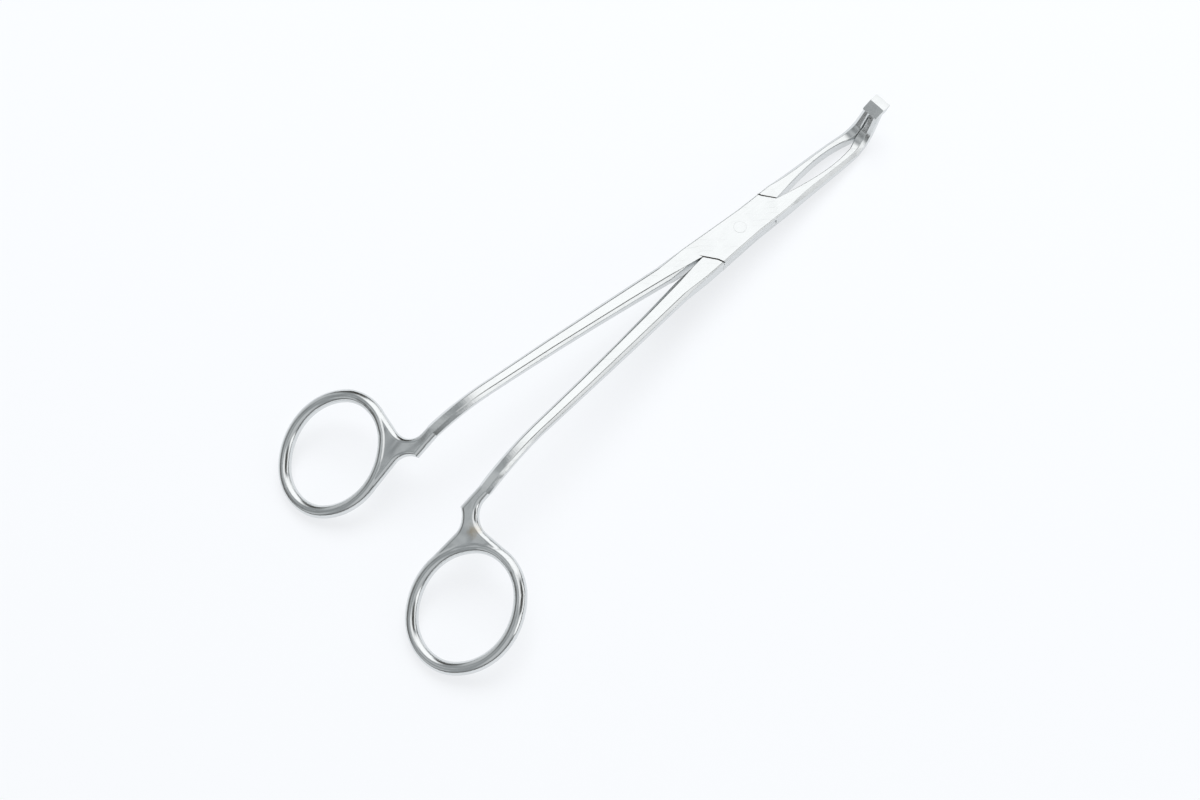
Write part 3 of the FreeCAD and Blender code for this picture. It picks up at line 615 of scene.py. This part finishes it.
# %% [markdown]
# The steel itself is a metal whose colour is that of its reflections: a light grey, a
# touch cooler than neutral. Satin steel spreads them more than polished steel does. A
# Mapping node turns Object coordinates into the lock's frame, so that the lines run
# along the bar and the masks are told in distances from the rivet.

# %% Helpers for the steel
STEEL_COLOUR = (0.725, 0.745, 0.75, 1.0)
WORN_COLOUR = (0.64, 0.66, 0.66, 1.0)


def join(tree, operation, first, second, third=0.0):
    """One Math node; each of its inputs is a socket or a number."""
    node = tree.nodes.new("ShaderNodeMath")
    node.operation = operation
    for socket, value in zip(node.inputs, (first, second, third)):
        if isinstance(value, (int, float)):
            socket.default_value = value
        else:
            tree.links.new(value, socket)
    return node.outputs[0]


def place_group(tree, group, vector, **settings):
    """Place a node group, with its Place input linked and its values set."""
    node = tree.nodes.new("ShaderNodeGroup")
    node.node_tree = group
    tree.links.new(vector, node.inputs["Place"])
    for label, value in settings.items():
        node.inputs[label].default_value = value
    return node


def blend_colours(tree, factor, first, second):
    """Mix two colours, each a socket or four numbers."""
    node = tree.nodes.new("ShaderNodeMix")
    node.data_type = "RGBA"
    for label, value in (("A", first), ("B", second)):
        if isinstance(value, tuple):
            node.inputs[label].default_value = value
        else:
            tree.links.new(value, node.inputs[label])
    tree.links.new(factor, node.inputs["Factor"])
    return node.outputs["Result"]


print("steel colour", STEEL_COLOUR[:3])

# %% [markdown]
# One neck carries a small brownish stain, as an instrument gets from a drop that dried on
# it. It is a ragged spot round one place: the distance from it, with noise added.

# %% Stain
NECK_STAIN = (-0.0606, -0.0153, 0.0128)
STAIN_COLOUR = (0.50, 0.42, 0.29, 1.0)
STAIN_FULL, STAIN_GONE = 0.0012, 0.0036
STAIN_RAGGED = 0.0022
STAIN_STRENGTH = 0.8


def stained(tree, place, colour, spot):
    """Tint a colour round a spot, given in metres."""
    distance = tree.nodes.new("ShaderNodeVectorMath")
    distance.operation = "DISTANCE"
    distance.inputs[1].default_value = spot
    tree.links.new(place, distance.inputs[0])
    ragged = tree.nodes.new("ShaderNodeTexNoise")
    ragged.inputs["Scale"].default_value = 900.0
    ragged.inputs["Detail"].default_value = 3.0
    tree.links.new(place, ragged.inputs["Vector"])
    reach = join(
        tree, "MULTIPLY_ADD", ragged.outputs["Fac"], STAIN_RAGGED, distance.outputs["Value"])
    near = join(tree, "SUBTRACT", 1.0, steps_of(tree, reach, STAIN_FULL, STAIN_GONE))
    return blend_colours(
        tree, join(tree, "MULTIPLY", near, STAIN_STRENGTH), colour, STAIN_COLOUR)


print("stain at", NECK_STAIN)

# %% [markdown]
# In the steel itself the masks share out the finishes. Grinding lines show in full on the
# lock and the jaws and only faintly on the shanks, which are polished after grinding. The
# waves of hand polishing are deepest between ring and shank, where the bar narrows to a
# neck, and only the neck shows strokes that cross the bar.

# %% Steel of a half
SATIN, POLISHED = 0.20, 0.15
LINE_HEIGHT = 0.0000014
WAVE_HEIGHT = 0.00035
LOCK_REGION = (-0.040, -0.012)
SHANK_REGION = (-0.090, -0.072)
WEB_REGION = (-0.099, -0.093)
ROOT_REGION = (-0.114, -0.108)
TIP_REGION = (0.030, 0.038)
LINES_ON_SHANKS = 0.15
STROKES_ON_NECK = 5.0
LINES_ROUGH, HAZE_ROUGH, SCRATCH_ROUGH = 0.04, 0.05, 0.12
LINES_WORN, HAZE_WORN, SCRATCH_WORN = 0.12, 0.12, 0.8
WAVES_ANYWHERE, WAVES_ON_RINGS, WAVES_ON_NECK = 0.01, 0.12, 0.15
WAVES_AT_ROOT, WAVES_AT_TIPS = 0.38, 0.25


def region(tree, bar, ends):
    """The mask that rises between two places along the bar."""
    return place_group(tree, along, bar, From=ends[0], To=ends[1]).outputs["Mask"]


def bar_steel(name, stain=None):
    """Ground and polished steel of a half; stain is a spot's place in metres."""
    material = bpy.data.materials.new(name)
    material.use_nodes = True
    tree = material.node_tree
    shader = tree.nodes["Principled BSDF"]
    shader.inputs["Metallic"].default_value = 1.0
    whole = tree.nodes.new("ShaderNodeTexCoord").outputs["Object"]
    lock = tree.nodes.new("ShaderNodeMapping")
    lock.vector_type = "TEXTURE"
    lock.inputs["Location"].default_value = PIVOT
    lock.inputs["Rotation"].default_value = (0.0, TILT, 0.0)
    tree.links.new(whole, lock.inputs["Vector"])
    bar = lock.outputs["Vector"]

    on_lock = region(tree, bar, LOCK_REGION)
    shown = join(tree, "MULTIPLY_ADD", on_lock, 1.0 - LINES_ON_SHANKS, LINES_ON_SHANKS)
    lines = place_group(tree, grinding, bar, Along=70.0, Across=3600.0).outputs["Lines"]
    lines = join(tree, "MULTIPLY", lines, shown)
    strokes = place_group(tree, grinding, bar, Along=2400.0, Across=260.0).outputs["Lines"]
    waves = place_group(tree, polishing, bar, Along=70.0, Across=280.0).outputs["Waves"]
    marks = place_group(tree, handling, whole)
    ground = region(tree, bar, SHANK_REGION)
    past_web = region(tree, bar, WEB_REGION)
    at_tips = region(tree, bar, TIP_REGION)
    past_ring = region(tree, bar, ROOT_REGION)
    polished = join(tree, "SUBTRACT", 1.0, ground)
    root = join(tree, "MULTIPLY", polished, past_ring)
    neck = join(tree, "MULTIPLY", polished, past_web)

    rough = join(tree, "MULTIPLY_ADD", ground, SATIN - POLISHED, POLISHED)
    rough = join(tree, "MULTIPLY_ADD", lines, LINES_ROUGH, rough)
    rough = join(tree, "MULTIPLY_ADD", marks.outputs["Haze"], HAZE_ROUGH, rough)
    rough = join(tree, "MULTIPLY_ADD", marks.outputs["Scratches"], SCRATCH_ROUGH, rough)
    tree.links.new(rough, shader.inputs["Roughness"])

    worn = join(tree, "MULTIPLY", marks.outputs["Scratches"], SCRATCH_WORN)
    worn = join(tree, "MULTIPLY_ADD", marks.outputs["Haze"], HAZE_WORN, worn)
    worn = join(tree, "MULTIPLY_ADD", lines, LINES_WORN, worn)
    colour = blend_colours(tree, worn, STEEL_COLOUR, WORN_COLOUR)
    if stain is not None:
        colour = stained(tree, whole, colour, stain)
    tree.links.new(colour, shader.inputs["Base Color"])

    swell = join(tree, "MULTIPLY", polished, WAVES_ON_RINGS)
    swell = join(tree, "MULTIPLY_ADD", neck, WAVES_ON_NECK, swell)
    swell = join(tree, "MULTIPLY_ADD", root, WAVES_AT_ROOT, swell)
    swell = join(tree, "MULTIPLY_ADD", at_tips, WAVES_AT_TIPS, swell)
    swell = join(tree, "ADD", swell, WAVES_ANYWHERE)
    crossed = join(tree, "MULTIPLY", strokes, neck)
    fine = join(tree, "MULTIPLY_ADD", crossed, STROKES_ON_NECK, lines)
    relief = join(tree, "MULTIPLY", fine, LINE_HEIGHT / WAVE_HEIGHT)
    relief = join(tree, "MULTIPLY_ADD", waves, swell, relief)
    bump = tree.nodes.new("ShaderNodeBump")
    bump.inputs["Strength"].default_value = 1.0
    bump.inputs["Distance"].default_value = WAVE_HEIGHT
    tree.links.new(relief, bump.inputs["Height"])
    tree.links.new(bump.outputs["Normal"], shader.inputs["Normal"])
    return material


box_steel = bar_steel("ground_steel_box")
tongue_steel = bar_steel("ground_steel_tongue", stain=NECK_STAIN)
print("steel:", box_steel.name, tongue_steel.name)

# %% [markdown]
# The seams get painted shade: a dark, partly metallic material in place of the shadow down
# in the gaps. Its darkness and roughness vary in patches from one place to the next.

# %% Painted shade in the seams
SEAM_SHADE_DARK = (0.045, 0.042, 0.032, 1.0)
SEAM_SHADE_LIGHT = (0.11, 0.10, 0.08, 1.0)
SEAM_SHADE_ROUGH, SEAM_SHADE_UNEVEN = 0.35, 0.2

# Painted shade: this dark material on the seams' bevels stands in for the shadow in the lock's
# seams.
seam_painted_shade = bpy.data.materials.new("seam_painted_shade")
seam_painted_shade.use_nodes = True
tree = seam_painted_shade.node_tree
shader = tree.nodes["Principled BSDF"]
shader.inputs["Metallic"].default_value = 0.6
whole = tree.nodes.new("ShaderNodeTexCoord").outputs["Object"]
seam_shade_patches = place_group(tree, handling, whole).outputs["Haze"]
tree.links.new(
    blend_colours(tree, seam_shade_patches, SEAM_SHADE_DARK, SEAM_SHADE_LIGHT), shader.inputs["Base Color"])
tree.links.new(
    join(tree, "MULTIPLY_ADD", seam_shade_patches, SEAM_SHADE_UNEVEN, SEAM_SHADE_ROUGH), shader.inputs["Roughness"])
print("residue:", seam_painted_shade.name)

# %% Dress the halves
for name, steel in (("box_half", box_steel), ("tongue_half", tongue_steel)):
    halves[name].material_slots[0].material = steel
    # The second slot takes the painted shade of the seams.
    halves[name].material_slots[1].material = seam_painted_shade
    frame["nodes"][name].material_slots[0].material = steel
    print(name, [slot.material.name for slot in halves[name].material_slots])

# %% [markdown]
# ## The rivet
# The rivet is ground flush with both cheeks in one pass with them, so it all but
# disappears. Its shape in the CAD is right as it is. It gets the same ground steel.

# %% Steel of the rivet
rivet_steel = bar_steel("ground_steel_rivet")
frame["nodes"]["lock_pin"].material_slots[0].material = rivet_steel
print("rivet:", rivet_steel.name)
